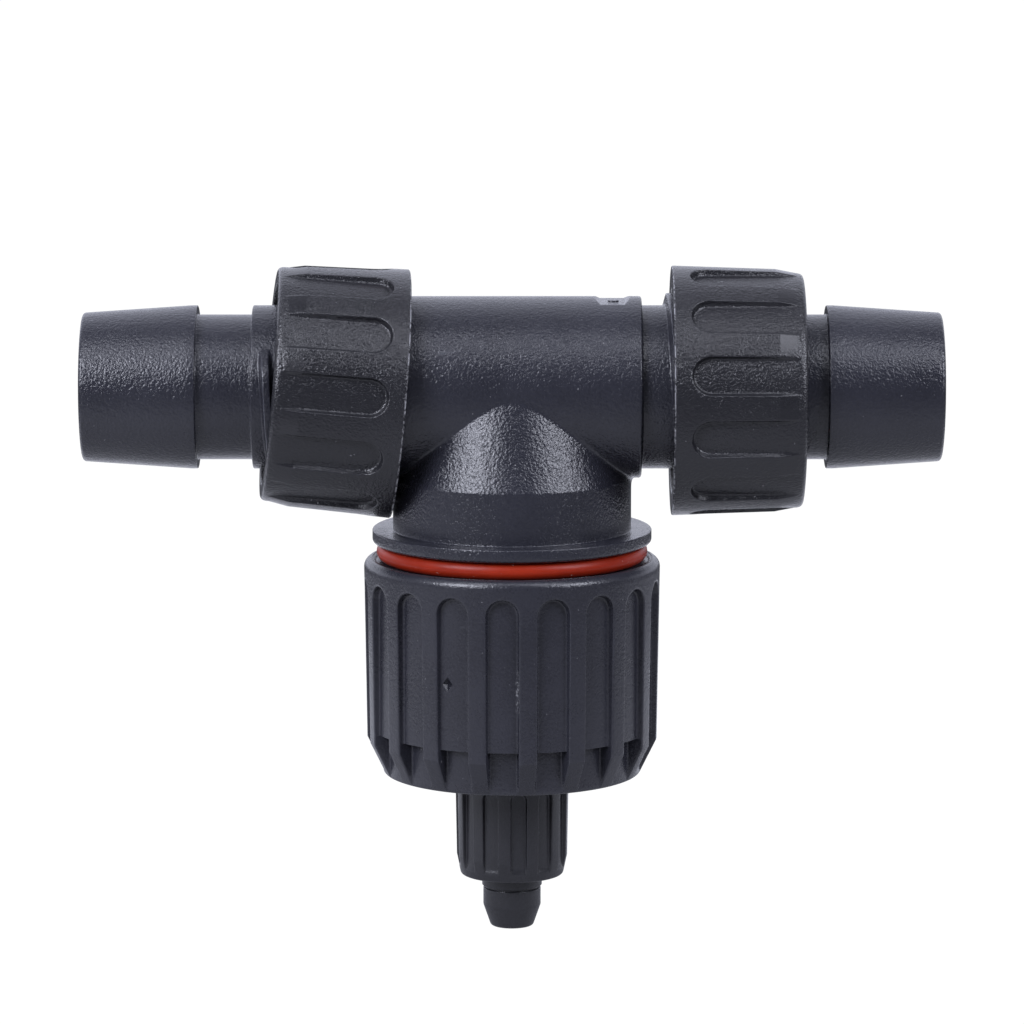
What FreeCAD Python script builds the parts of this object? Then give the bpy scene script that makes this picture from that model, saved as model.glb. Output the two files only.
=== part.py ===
import FreeCAD, Part
import math
import os

# Barbed tee connector for 16 mm hose with a screw-on diffuser chamber underneath.
# Millimetres. Origin where the run axis (X) crosses the branch axis (Z); the branch points down.

Vector = FreeCAD.Vector
ORIGIN = Vector(0, 0, 0)
AXIS_X = Vector(1, 0, 0)
AXIS_Z = Vector(0, 0, 1)

# ---- Driving dimensions -------------------------------------------------------------------

# Run of the tee: one half is described, from the middle outwards, and both halves are alike.
run_half_length = 35.65
run_radius = 7.55
run_bore_radius = 4.5
run_middle_half_length = 10.73
relief_radius = 6.79
thread_shoulder_at = 21.5
barb_shoulder_at = 26.1
neck_radius = 6.02
barb_radius = 6.78
barb_land_length = 0.55
tip_radius = 6.17
edge_round = 0.25

# Shared allowances: how far a ridge is sunk into its base and how far a cutter overshoots.
ridge_sink = 0.1
overshoot = 1.0

# Outside thread of the run, on which the hose nuts travel.
hose_pitch = 2.4
hose_thread_start = 12.6
hose_thread_crest = 7.8
hose_thread_root_width = 1.1
hose_thread_crest_width = 0.55
hose_thread_turns = 2.45

# Branch: saddle cone, round part, flange, threaded spigot.
saddle_top = -0.4
saddle_bottom = -7.53
branch_radius = 9.94
flange_top = -11.9
flange_bottom = -13.0
flange_radius = 11.65
spigot_radius = 9.75
spigot_end = -25.0
chamber_radius = 8.0
chamber_roof = -10.0
chamber_cone_top = -7.5
port_radius = 2.8

# Thread between spigot and chamber cap.
cap_pitch = 2.5
cap_thread_root_width = 1.2
cap_thread_crest_width = 0.65
spigot_thread_crest = 10.45
spigot_thread_start = -16.4
spigot_thread_turns = 2.9

# Feed gate scar on top of the run.
gate_from = 6.8
gate_to = 9.8
gate_floor = 7.24
gate_slope = 0.5
gate_half_width = 3.0
gate_rim_above = 0.02
gate_scar_radius = 0.42
gate_scar_at = 8.4
gate_scar_height = 0.15

# O-ring under the flange.
o_ring_cord_radius = 0.75
o_ring_centre_radius = 10.56
contact_gap = 0.01

# Chamber cap.
cap_top = -14.33
cap_top_radius = 12.37
cap_low_radius = 12.15
cap_chamfer_at = -29.6
cap_bottom = -32.5
cap_bottom_radius = 10.72
cap_bore_radius = 10.6
cap_bore_end = -25.3
cap_well_radius = 8.9
cap_floor = -30.6
cap_flutes = 18
cap_flute_width = 2.75
cap_flute_top = -15.95
cap_flute_floor = 11.7
cap_ledge_at = -28.75
cap_core_radius = 10.8
cap_flute_phase = -3.7
cap_thread_crest = 9.9
cap_thread_turns = 1.5
cap_top_round = 0.7
cap_bottom_round = 0.3
cap_bore_taper = 0.8
seat_clearance = 0.08
seat_lead_in = 0.35
seat_lead_in_depth = 0.12

# Stem under the cap, for the tube nut.
stem_radius = 3.0
stem_end = -38.4
stem_thread_crest = 3.42
tube_pitch = 1.0
tube_thread_root_width = 0.55
tube_thread_crest_width = 0.25
stem_thread_turns = 4.0
stem_thread_above_end = 0.5
valve_well_radius = 1.5
valve_well_end = -34.6
gas_bore_radius = 1.0
tail_socket_radius = 1.97
tail_socket_top = -35.8

# Element carrier, porous element and their seals.
carrier_radius = 8.82
carrier_bottom = -30.3
carrier_top = -28.4
carrier_post_radius = 4.4
carrier_post_top = -27.2
carrier_nipple_radius = 2.6
carrier_key_inner = 6.9
carrier_key_outer = 8.2
carrier_key_width = 2.0
carrier_key_top = -18.8
carrier_key_overlap = 0.5
carrier_nipple_length = 4.6
key_slot_clearance = 0.08
key_slot_height = 7.0
element_radius = 4.4
element_bore_radius = 2.65
element_top = -12.4
element_round = 1.5
element_roof = 2.0
gasket_thickness = 0.6
gasket_play = 0.05
gasket_inset = 0.2
seal_outer_radius = 3.4
seal_inner_radius = 1.8
seal_recess_depth = 0.4
retaining_ring_inner = 8.3
retaining_ring_outer = 9.4
retaining_ring_thickness = 0.8
retaining_ring_above = 0.1
retaining_ring_play = 0.05
retaining_ring_gap = 6.0
retaining_ring_gap_height = 3.0

# Non-return valve in the stem.
ball_radius = 1.25
seat_outer_radius = 1.49
seat_inner_radius = 0.8
seat_thickness = 0.7

# Tube nut and tube tail.
tube_nut_top = -32.75
tube_nut_bottom = -41.3
tube_nut_radius = 4.77
tube_nut_low_radius = 4.65
tube_nut_chamfer_at = -39.65
tube_nut_end_radius = 4.3
tube_nut_bore_radius = 3.5
tube_nut_thread_crest = 3.1
tube_nut_thread_turns = 1.25
tube_nut_top_round = 0.15
tube_nut_end_round = 0.25
tube_nut_pocket_play = 0.1
tube_nut_pocket_from = -39.0
tube_nut_pocket_to = -40.15
tube_nut_hole_radius = 2.68
tube_nut_flutes = 12
tube_nut_flute_width = 1.4
tube_nut_flute_depth = 0.3
tube_nut_flute_top = -33.55
tube_nut_flute_end = -40.55
tube_nut_flute_phase = 7.1
tail_flange_radius = 3.1
tail_flange_top = -39.12
tail_flange_bottom = -40.1
tail_neck_radius = 2.6
tail_groove_top = -42.3
tail_groove_width = 0.2
tail_groove_radius = 2.2
tail_barb_radius = 2.42
tail_taper_at = -43.96
tail_tip = -45.8
tail_tip_radius = 1.78
tail_tip_round = 0.3
tail_spigot_radius = 1.9
tail_spigot_top = -36.6
tail_bore_radius = 1.2
tail_o_ring_cord_radius = 0.35
tail_o_ring_centre_radius = 2.55

# Hose nuts: described with the inner end at 0 and the outer end at hose_nut_length.
hose_nut_length = 10.9
hose_nut_inner_radius = 10.38
hose_nut_outer_radius = 10.1
hose_nut_chamfer_at = 8.6
hose_nut_chamfer_radius = 9.65
hose_nut_end_round = 0.35
hose_nut_inner_round = 0.15
hose_nut_bore = 8.5
hose_nut_lip_radius = 8.4
hose_nut_lip_from = 9.8
hose_nut_pocket_radius = 8.72
hose_nut_pocket_from = 4.2
hose_nut_flutes = 12
hose_nut_flute_width = 3.25
hose_nut_flute_floor = 9.75
hose_nut_flute_from = 1.45
right_lug_at = 2.6
left_lug_at = 2.65
hose_nut_lug_crest = 7.3
hose_nut_lug_root_width = 0.8
hose_nut_lug_crest_width = 0.45
hose_nut_lug_turns = 0.16
hose_nut_lug_to_flute = 13.7

# Grip rings: split sleeves in the pockets of the hose nuts.
grip_ring_outer = 8.65
grip_ring_inner = 8.3
grip_ring_play = 0.1
grip_ring_split = 2.0
grip_ring_split_depth = 4.0

# Where the two hose nuts sit.
right_nut_inner_end = 13.25
right_nut_drop = 0.3
right_nut_turn = -30.0
left_nut_centre = Vector(-14.79, 0.0, -0.15)
left_nut_roll = 5.1
left_nut_yaw = 4.0
left_nut_turn = 21.2


# ---- Shape helpers ------------------------------------------------------------------------

def turned(outline, axis=AXIS_Z):
    """Solid of revolution from (place along the axis, radius) points."""
    if axis == AXIS_Z:
        points = [Vector(radius, 0, place) for place, radius in outline]
    else:
        points = [Vector(place, 0, radius) for place, radius in outline]
    face = Part.Face(Part.makePolygon(points + [points[0]]))
    return face.revolve(ORIGIN, axis, 360)


def cylinder(radius, bottom, top):
    """Upright cylinder on the Z axis."""
    return Part.makeCylinder(radius, top - bottom, Vector(0, 0, bottom))


def tube(outer, inner, bottom, top):
    """Upright tube on the Z axis."""
    return cylinder(outer, bottom, top).cut(cylinder(inner, bottom - overshoot, top + overshoot))


def rounded(shape, size, place, radius, axis=AXIS_Z):
    """Round the circular edges of the given radius that lie at the given place along the axis."""
    near = 0.02
    edges = []
    for edge in shape.Edges:
        curve = edge.Curve
        if not isinstance(curve, Part.Circle):
            continue
        if abs(curve.Center.dot(axis) - place) < near and abs(curve.Radius - radius) < near:
            edges.append(edge)
    return shape.makeFillet(size, edges)


def helical_ridge(base_radius, crest_radius, base_width, crest_width, pitch, turns):
    """Right-hand ridge that climbs +Z from height 0 at angle 0, either outside or inside its base."""
    spine = Part.makeHelix(pitch, pitch * turns, base_radius)
    corners = [
        Vector(base_radius, 0, -base_width / 2),
        Vector(crest_radius, 0, -crest_width / 2),
        Vector(crest_radius, 0, crest_width / 2),
        Vector(base_radius, 0, base_width / 2),
    ]
    section = Part.makePolygon(corners + [corners[0]])
    sweep = Part.BRepOffsetAPI.MakePipeShell(spine)
    sweep.setFrenetMode(True)
    sweep.add(section)
    sweep.build()
    sweep.makeSolid()
    return sweep.shape()


def spin(shape, degrees, axis=AXIS_Z):
    """Copy of the shape turned about an axis through the origin."""
    turned_copy = shape.copy()
    turned_copy.rotate(ORIGIN, axis, degrees)
    return turned_copy


def moved(shape, x=0.0, y=0.0, z=0.0):
    """Copy of the shape moved by the given amounts."""
    moved_copy = shape.copy()
    moved_copy.translate(Vector(x, y, z))
    return moved_copy


def around(shape, count, phase):
    """List of copies evenly spaced about Z, the first turned by the phase."""
    return [spin(shape, phase + i * 360.0 / count) for i in range(count)]


def flute_cutter(width, low, high, floor_radius, reach, round_high):
    """Slot cutter facing -Y whose floor is a cylinder; its upper end is round if asked."""
    half = width / 2
    slot = Part.makeBox(width, reach, high - low, Vector(-half, -reach, low))
    if round_high:
        round_end = Part.makeCylinder(half, reach, Vector(0, 0, high - half), Vector(0, -1, 0))
        slot = Part.makeBox(width, reach, high - half - low, Vector(-half, -reach, low))
        slot = slot.fuse(round_end)
    return slot.cut(cylinder(floor_radius, low - overshoot, high + overshoot)).removeSplitter()


# ---- Tee body -----------------------------------------------------------------------------

def run_half():
    """Right half of the run: middle, relief, thread core, neck and conical barb."""
    land_end = barb_shoulder_at + barb_land_length
    outline = [
        (0, 0),
        (0, run_radius),
        (run_middle_half_length, run_radius),
        (run_middle_half_length, relief_radius),
        (thread_shoulder_at, relief_radius),
        (thread_shoulder_at, neck_radius),
        (barb_shoulder_at, neck_radius),
        (barb_shoulder_at, barb_radius),
        (land_end, barb_radius),
        (run_half_length, tip_radius),
        (run_half_length, 0),
    ]
    half = turned(outline, AXIS_X)
    half = rounded(half, edge_round, run_middle_half_length, run_radius, AXIS_X)
    half = rounded(half, edge_round, run_half_length, tip_radius, AXIS_X)
    thread = helical_ridge(
        relief_radius - ridge_sink, hose_thread_crest, hose_thread_root_width,
        hose_thread_crest_width, hose_pitch, hose_thread_turns,
    )
    thread = spin(thread, 180)
    thread.rotate(ORIGIN, Vector(0, 1, 0), 90)
    thread.translate(Vector(hose_thread_start + hose_thread_crest_width, 0, 0))
    return half.fuse(thread)


def branch():
    """Saddle cone, branch, flange and threaded spigot, still without its inside."""
    outline = [
        (0, 0),
        (0, run_radius),
        (saddle_top, run_radius),
        (saddle_bottom, branch_radius),
        (flange_top, branch_radius),
        (flange_top, flange_radius),
        (flange_bottom, flange_radius),
        (flange_bottom, spigot_radius),
        (spigot_end, spigot_radius),
        (spigot_end, 0),
    ]
    solid = turned(outline)
    solid = rounded(solid, edge_round, flange_bottom, flange_radius)
    thread = helical_ridge(
        spigot_radius - ridge_sink, spigot_thread_crest, cap_thread_root_width,
        cap_thread_crest_width, cap_pitch, spigot_thread_turns,
    )
    thread_bottom = spigot_thread_start - cap_pitch * spigot_thread_turns
    return solid.fuse(moved(thread, z=thread_bottom))


def key_slots():
    """Two grooves in the chamber wall in which the carrier's keys slide."""
    width = carrier_key_width + 2 * key_slot_clearance
    reach = carrier_key_outer + key_slot_clearance
    low = spigot_end - overshoot
    top = spigot_end + key_slot_height
    bar = Part.makeBox(2 * reach, width, top - low, Vector(-reach, -width / 2, low))
    return bar.common(cylinder(reach, low, top))


def gate_recess():
    """Dished recess on top of the run with the scar of the feed gate left standing in it."""
    rim = run_radius + gate_rim_above
    above = run_radius + overshoot
    corners = [
        Vector(gate_from, -gate_half_width, rim),
        Vector(gate_from + gate_slope, -gate_half_width, gate_floor),
        Vector(gate_to - gate_slope, -gate_half_width, gate_floor),
        Vector(gate_to, -gate_half_width, rim),
        Vector(gate_to, -gate_half_width, above),
        Vector(gate_from, -gate_half_width, above),
    ]
    face = Part.Face(Part.makePolygon(corners + [corners[0]]))
    recess = face.extrude(Vector(0, 2 * gate_half_width, 0))
    scar = Part.makeCylinder(gate_scar_radius, gate_scar_height, Vector(gate_scar_at, 0, gate_floor))
    return recess.cut(scar)


def tee_body():
    right = run_half()
    left = spin(right, 180)
    solid = right.fuse([left, branch()])
    run_bore = Part.makeCylinder(
        run_bore_radius, 2 * (run_half_length + overshoot),
        Vector(-run_half_length - overshoot, 0, 0), AXIS_X,
    )
    chamber = turned([
        (spigot_end - overshoot, 0),
        (spigot_end - overshoot, chamber_radius),
        (chamber_roof, chamber_radius),
        (chamber_cone_top, port_radius),
        (0, port_radius),
        (0, 0),
    ])
    return solid.cut([run_bore, chamber, key_slots(), gate_recess()])


# ---- Seals --------------------------------------------------------------------------------

def flange_o_ring():
    centre = flange_bottom - o_ring_cord_radius - contact_gap
    return Part.makeTorus(o_ring_centre_radius, o_ring_cord_radius, Vector(0, 0, centre))


def tail_o_ring():
    centre = stem_end - tail_o_ring_cord_radius - contact_gap
    return Part.makeTorus(tail_o_ring_centre_radius, tail_o_ring_cord_radius, Vector(0, 0, centre))


def carrier_seal():
    top = carrier_bottom - contact_gap
    bottom = cap_floor - seal_recess_depth + contact_gap
    return tube(seal_outer_radius, seal_inner_radius, bottom, top)


def element_gasket():
    bottom = carrier_post_top + contact_gap
    inner = carrier_nipple_radius + gasket_play
    return tube(element_radius - gasket_inset, inner, bottom, bottom + gasket_thickness)


# ---- Chamber cap and what it carries ------------------------------------------------------

def cap_shell():
    """Outside of the cap with its stem, before the flutes and the inside are cut."""
    outline = [
        (cap_top, 0),
        (cap_top, cap_top_radius),
        (cap_chamfer_at, cap_low_radius),
        (cap_bottom, cap_bottom_radius),
        (cap_bottom, stem_radius),
        (stem_end, stem_radius),
        (stem_end, 0),
    ]
    shell = turned(outline)
    shell = rounded(shell, cap_top_round, cap_top, cap_top_radius)
    return rounded(shell, cap_bottom_round, cap_bottom, cap_bottom_radius)


def cap_inside():
    """Everything hollow in the cap: O-ring seat, bore, well, ring groove, valve well, socket."""
    seat_floor = flange_bottom - 2 * o_ring_cord_radius - 3 * contact_gap
    seat_radius = o_ring_centre_radius + o_ring_cord_radius + seat_clearance
    groove_low = carrier_top + retaining_ring_above - contact_gap
    groove_high = carrier_top + retaining_ring_above + retaining_ring_thickness + contact_gap
    groove_radius = retaining_ring_outer + retaining_ring_play
    recess_radius = seal_outer_radius + gasket_play
    recess_floor = cap_floor - seal_recess_depth
    return turned([
        (cap_top + overshoot, 0),
        (cap_top + overshoot, seat_radius + seat_lead_in),
        (cap_top, seat_radius + seat_lead_in),
        (cap_top - seat_lead_in_depth, seat_radius),
        (seat_floor, seat_radius),
        (seat_floor, cap_bore_radius),
        (cap_bore_end, cap_bore_radius),
        (cap_bore_end - cap_bore_taper, cap_well_radius),
        (groove_high, cap_well_radius),
        (groove_high, groove_radius),
        (groove_low, groove_radius),
        (groove_low, cap_well_radius),
        (cap_floor, cap_well_radius),
        (cap_floor, recess_radius),
        (recess_floor, recess_radius),
        (recess_floor, valve_well_radius),
        (valve_well_end, valve_well_radius),
        (valve_well_end, gas_bore_radius),
        (tail_socket_top, gas_bore_radius),
        (tail_socket_top, tail_socket_radius),
        (stem_end - overshoot, tail_socket_radius),
        (stem_end - overshoot, 0),
    ])


def chamber_cap():
    reach = cap_top_radius + 2 * overshoot
    upper = flute_cutter(
        cap_flute_width, cap_ledge_at, cap_flute_top, cap_flute_floor, reach, True,
    )
    lower = flute_cutter(
        cap_flute_width, cap_bottom - overshoot, cap_ledge_at + contact_gap,
        cap_core_radius, reach, False,
    )
    flutes = around(upper, cap_flutes, cap_flute_phase) + around(lower, cap_flutes, cap_flute_phase)
    shell = cap_shell().cut(flutes + [cap_inside()])
    inner_thread = helical_ridge(
        cap_bore_radius + ridge_sink, cap_thread_crest, cap_thread_root_width,
        cap_thread_crest_width, cap_pitch, cap_thread_turns,
    )
    # The ridge runs in the middle of the spigot thread's groove.
    inner_bottom = spigot_thread_start - cap_pitch * (spigot_thread_turns - 0.5)
    stem_thread = helical_ridge(
        stem_radius - ridge_sink, stem_thread_crest, tube_thread_root_width,
        tube_thread_crest_width, tube_pitch, stem_thread_turns,
    )
    stem_thread_bottom = stem_end + stem_thread_above_end
    shell = shell.fuse([moved(inner_thread, z=inner_bottom), moved(stem_thread, z=stem_thread_bottom)])
    return shell.removeSplitter()


def element_carrier():
    """Disc with a post and nipple for the element and two long keys that stop it turning."""
    nipple_top = carrier_post_top + carrier_nipple_length
    body = turned([
        (carrier_bottom, 0),
        (carrier_bottom, carrier_radius),
        (carrier_top, carrier_radius),
        (carrier_top, carrier_post_radius),
        (carrier_post_top, carrier_post_radius),
        (carrier_post_top, carrier_nipple_radius),
        (nipple_top, carrier_nipple_radius),
        (nipple_top, 0),
    ])
    key_bottom = carrier_top - carrier_key_overlap
    bar = Part.makeBox(
        2 * carrier_key_outer, carrier_key_width, carrier_key_top - key_bottom,
        Vector(-carrier_key_outer, -carrier_key_width / 2, key_bottom),
    )
    keys = bar.common(tube(carrier_key_outer, carrier_key_inner, key_bottom, carrier_key_top))
    gas_bore = cylinder(gas_bore_radius, carrier_bottom - overshoot, nipple_top + overshoot)
    return body.fuse(keys).cut(gas_bore).removeSplitter()


def porous_element():
    """Blind porous sleeve with a domed top."""
    bottom = carrier_post_top + gasket_thickness + 2 * contact_gap
    sleeve = cylinder(element_radius, bottom, element_top)
    sleeve = rounded(sleeve, element_round, element_top, element_radius)
    return sleeve.cut(cylinder(element_bore_radius, bottom - overshoot, element_top - element_roof))


def retaining_ring():
    """Open snap ring above the carrier's disc."""
    bottom = carrier_top + retaining_ring_above
    ring = tube(retaining_ring_outer, retaining_ring_inner, bottom, bottom + retaining_ring_thickness)
    gap_corner = Vector(
        -retaining_ring_gap / 2, retaining_ring_inner - 2 * overshoot, bottom - overshoot,
    )
    gap = Part.makeBox(
        retaining_ring_gap, retaining_ring_gap, retaining_ring_gap_height, gap_corner,
    )
    return ring.cut(gap)


def valve_seat():
    return tube(
        seat_outer_radius, seat_inner_radius,
        valve_well_end + contact_gap, valve_well_end + contact_gap + seat_thickness,
    )


def valve_ball():
    """Ball resting on the rim of the seat."""
    rim = valve_well_end + contact_gap + seat_thickness
    height = math.sqrt(ball_radius ** 2 - seat_inner_radius ** 2)
    return Part.makeSphere(ball_radius, Vector(0, 0, rim + height + contact_gap))


# ---- Tube tail and tube nut ---------------------------------------------------------------

def tube_tail():
    groove_bottom = tail_groove_top - tail_groove_width
    tail = turned([
        (tail_spigot_top, 0),
        (tail_spigot_top, tail_spigot_radius),
        (tail_flange_top, tail_spigot_radius),
        (tail_flange_top, tail_flange_radius),
        (tail_flange_bottom, tail_flange_radius),
        (tail_flange_bottom, tail_neck_radius),
        (tail_groove_top, tail_neck_radius),
        (tail_groove_top, tail_groove_radius),
        (groove_bottom, tail_groove_radius),
        (groove_bottom, tail_barb_radius),
        (tail_taper_at, tail_barb_radius),
        (tail_tip, tail_tip_radius),
        (tail_tip, 0),
    ])
    tail = rounded(tail, tail_tip_round, tail_tip, tail_tip_radius)
    return tail.cut(cylinder(tail_bore_radius, tail_tip - overshoot, tail_spigot_top + overshoot))


def tube_nut():
    nut = turned([
        (tube_nut_top, 0),
        (tube_nut_top, tube_nut_radius),
        (tube_nut_chamfer_at, tube_nut_low_radius),
        (tube_nut_bottom, tube_nut_end_radius),
        (tube_nut_bottom, 0),
    ])
    nut = rounded(nut, tube_nut_top_round, tube_nut_top, tube_nut_radius)
    nut = rounded(nut, tube_nut_end_round, tube_nut_bottom, tube_nut_end_radius)
    flute = flute_cutter(
        tube_nut_flute_width, tube_nut_flute_end, tube_nut_flute_top,
        tube_nut_low_radius - tube_nut_flute_depth, tube_nut_radius + 2 * overshoot, True,
    )
    pocket_radius = tail_flange_radius + tube_nut_pocket_play
    inside = turned([
        (tube_nut_top + overshoot, 0),
        (tube_nut_top + overshoot, tube_nut_bore_radius),
        (tube_nut_pocket_from, tube_nut_bore_radius),
        (tube_nut_pocket_from, pocket_radius),
        (tube_nut_pocket_to, pocket_radius),
        (tube_nut_pocket_to, tube_nut_hole_radius),
        (tube_nut_bottom - overshoot, tube_nut_hole_radius),
        (tube_nut_bottom - overshoot, 0),
    ])
    nut = nut.cut(around(flute, tube_nut_flutes, tube_nut_flute_phase) + [inside])
    thread = helical_ridge(
        tube_nut_bore_radius + ridge_sink, tube_nut_thread_crest, tube_thread_root_width,
        tube_thread_crest_width, tube_pitch, tube_nut_thread_turns,
    )
    # Half a pitch off the stem's ridge, so it runs in the middle of the groove.
    thread_bottom = stem_end + stem_thread_above_end + 1.5 * tube_pitch
    return nut.fuse(moved(thread, z=thread_bottom)).removeSplitter()


# ---- Hose nuts and grip rings -------------------------------------------------------------

def hose_nut(lug_at):
    """Fluted nut along +Z with its inner end at 0 and a thread lug that starts at angle 0."""
    nut = turned([
        (0, 0),
        (0, hose_nut_inner_radius),
        (hose_nut_chamfer_at, hose_nut_outer_radius),
        (hose_nut_length, hose_nut_chamfer_radius),
        (hose_nut_length, 0),
    ])
    nut = rounded(nut, hose_nut_end_round, hose_nut_length, hose_nut_chamfer_radius)
    nut = rounded(nut, hose_nut_inner_round, 0, hose_nut_inner_radius)
    flute = flute_cutter(
        hose_nut_flute_width, -hose_nut_length - overshoot, -hose_nut_flute_from,
        hose_nut_flute_floor, hose_nut_inner_radius + 2 * overshoot, True,
    )
    flute.rotate(ORIGIN, Vector(0, 1, 0), 180)
    # The cutter faces -Y, which is 90 degrees behind +X.
    flutes = around(flute, hose_nut_flutes, 90 + hose_nut_lug_to_flute)
    inside = turned([
        (-overshoot, 0),
        (-overshoot, hose_nut_bore),
        (hose_nut_pocket_from, hose_nut_bore),
        (hose_nut_pocket_from, hose_nut_pocket_radius),
        (hose_nut_lip_from, hose_nut_pocket_radius),
        (hose_nut_lip_from, hose_nut_lip_radius),
        (hose_nut_length + overshoot, hose_nut_lip_radius),
        (hose_nut_length + overshoot, 0),
    ])
    nut = nut.cut(flutes + [inside])
    lug = helical_ridge(
        hose_nut_bore + ridge_sink, hose_nut_lug_crest, hose_nut_lug_root_width,
        hose_nut_lug_crest_width, hose_pitch, hose_nut_lug_turns,
    )
    return nut.fuse(moved(lug, z=lug_at)).removeSplitter()


def grip_ring():
    """Split sleeve in the same place frame as the hose nut."""
    bottom = hose_nut_pocket_from + grip_ring_play
    top = hose_nut_lip_from - grip_ring_play
    ring = tube(grip_ring_outer, grip_ring_inner, bottom, top)
    split = Part.makeBox(
        grip_ring_split_depth, grip_ring_split, hose_nut_length,
        Vector(grip_ring_inner - grip_ring_split_depth / 2, -grip_ring_split / 2, 0),
    )
    return ring.cut(split)


def on_right(shape, turn):
    """Place a nut-frame shape on the right hose tail, turned about its own axis."""
    placed = spin(shape, turn)
    # Local +X (angle 0) becomes +Y and local +Z becomes +X, so angles run from +Y to +Z.
    placed.rotate(ORIGIN, AXIS_Z, 90)
    placed.rotate(ORIGIN, Vector(0, 1, 0), 90)
    placed.translate(Vector(right_nut_inner_end, 0, -right_nut_drop))
    return placed


def on_left(shape, turn):
    """Place a nut-frame shape on the left, centred, yawed and rolled as the loose nut hangs."""
    placed = spin(shape, turn)
    placed.translate(Vector(0, 0, -hose_nut_length / 2))
    placed.rotate(ORIGIN, AXIS_Z, 90)
    placed.rotate(ORIGIN, Vector(0, 1, 0), -90)
    placed.rotate(ORIGIN, AXIS_Z, left_nut_yaw)
    placed.rotate(ORIGIN, Vector(0, 1, 0), left_nut_roll)
    placed.translate(left_nut_centre)
    return placed


def main():
    parts = {
        "tee_body": tee_body(),
        "flange_o_ring": flange_o_ring(),
        "chamber_cap": chamber_cap(),
        "retaining_ring": retaining_ring(),
        "element_carrier": element_carrier(),
        "carrier_seal": carrier_seal(),
        "element_gasket": element_gasket(),
        "porous_element": porous_element(),
        "valve_seat": valve_seat(),
        "valve_ball": valve_ball(),
        "tube_tail": tube_tail(),
        "tail_o_ring": tail_o_ring(),
        "tube_nut": tube_nut(),
        "right_hose_nut": on_right(hose_nut(right_lug_at), right_nut_turn),
        "right_grip_ring": on_right(grip_ring(), right_nut_turn),
        "left_hose_nut": on_left(hose_nut(left_lug_at), left_nut_turn),
        "left_grip_ring": on_left(grip_ring(), left_nut_turn),
    }
    os.makedirs("parts", exist_ok=True)
    for name, shape in parts.items():
        solid = shape.Solids[0] if len(shape.Solids) == 1 else shape
        solid.exportStep("parts/" + name + ".step")
        size = solid.BoundBox
        limits = (size.XMin, size.XMax, size.YMin, size.YMax, size.ZMin, size.ZMax)
        print(name, len(shape.Solids), shape.isValid(), round(solid.Volume, 1))
        print("   ", [round(limit, 2) for limit in limits])


main()
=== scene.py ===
"""Looks of the barbed tee connector: smooth moulded meshes, plastics, studio light and camera."""

import math

import bmesh
import bpy
import numpy as np
from mathutils import Matrix, Vector
from mathutils.geometry import delaunay_2d_cdt


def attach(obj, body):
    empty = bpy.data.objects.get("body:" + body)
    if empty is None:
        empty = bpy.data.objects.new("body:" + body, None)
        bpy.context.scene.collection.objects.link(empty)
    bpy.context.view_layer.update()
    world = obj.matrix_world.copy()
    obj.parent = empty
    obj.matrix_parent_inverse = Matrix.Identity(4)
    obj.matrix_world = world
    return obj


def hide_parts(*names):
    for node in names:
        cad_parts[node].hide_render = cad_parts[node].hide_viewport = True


MM = 0.001

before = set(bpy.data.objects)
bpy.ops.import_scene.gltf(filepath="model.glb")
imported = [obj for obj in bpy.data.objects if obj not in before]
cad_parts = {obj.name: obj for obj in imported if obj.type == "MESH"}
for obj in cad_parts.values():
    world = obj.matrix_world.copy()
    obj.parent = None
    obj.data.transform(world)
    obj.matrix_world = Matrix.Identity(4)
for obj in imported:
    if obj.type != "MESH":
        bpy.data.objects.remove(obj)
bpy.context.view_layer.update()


# ---- Sizes, in millimetres, that the frame's boxes don't hold -----------------------------

RUN_RADIUS = 7.55
RUN_BORE = 4.5
RELIEF_RADIUS = 6.79
MIDDLE_HALF = 10.73
THREAD_SHOULDER = 21.5
BARB_SHOULDER = 26.1
NECK_RADIUS = 6.02
BARB_RADIUS = 6.78
TIP_RADIUS = 6.17
RUN_END = 35.65
SADDLE_TOP = -0.4
SADDLE_BOTTOM = -7.53
BRANCH_RADIUS = 9.94
FLANGE_TOP = -11.9
FLANGE_BOTTOM = -13.0
FLANGE_RADIUS = 11.65
SPIGOT_RADIUS = 9.75
SPIGOT_END = -25.0
CHAMBER_RADIUS = 8.0
CHAMBER_ROOF = -10.0
PORT_RADIUS = 2.8
PORT_TOP = -5.0

HOSE_PITCH = 2.4
HOSE_THREAD_CREST = 7.8
HOSE_THREAD_ROOT_WIDTH = 1.1
HOSE_THREAD_CREST_WIDTH = 0.55
# Side, start along the run and turns; the left thread's last half turn shows in its nut's open end.
HOSE_THREADS = ((1.0, 12.93, 2.54), (-1.0, 13.27, 2.94))
LEFT_LUG_AT = 2.99
RIGHT_LUG_AT = 2.6

CAP_PITCH = 2.5
CAP_THREAD_HEIGHT = 0.7
CAP_THREAD_ROOT_WIDTH = 1.2
CAP_THREAD_CREST_WIDTH = 0.65
SPIGOT_THREAD_START = -16.4
SPIGOT_THREAD_TURNS = 2.9
CAP_BORE_RADIUS = 10.6

TUBE_PITCH = 1.0
TUBE_THREAD_ROOT_WIDTH = 0.55
TUBE_THREAD_CREST_WIDTH = 0.25
STEM_RADIUS = 3.0
TUBE_NUT_BORE_RADIUS = 3.5

HOSE_NUT_BORE_RADIUS = 8.5


# ---- Mesh helpers -------------------------------------------------------------------------

ARC_STEPS = 6


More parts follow.
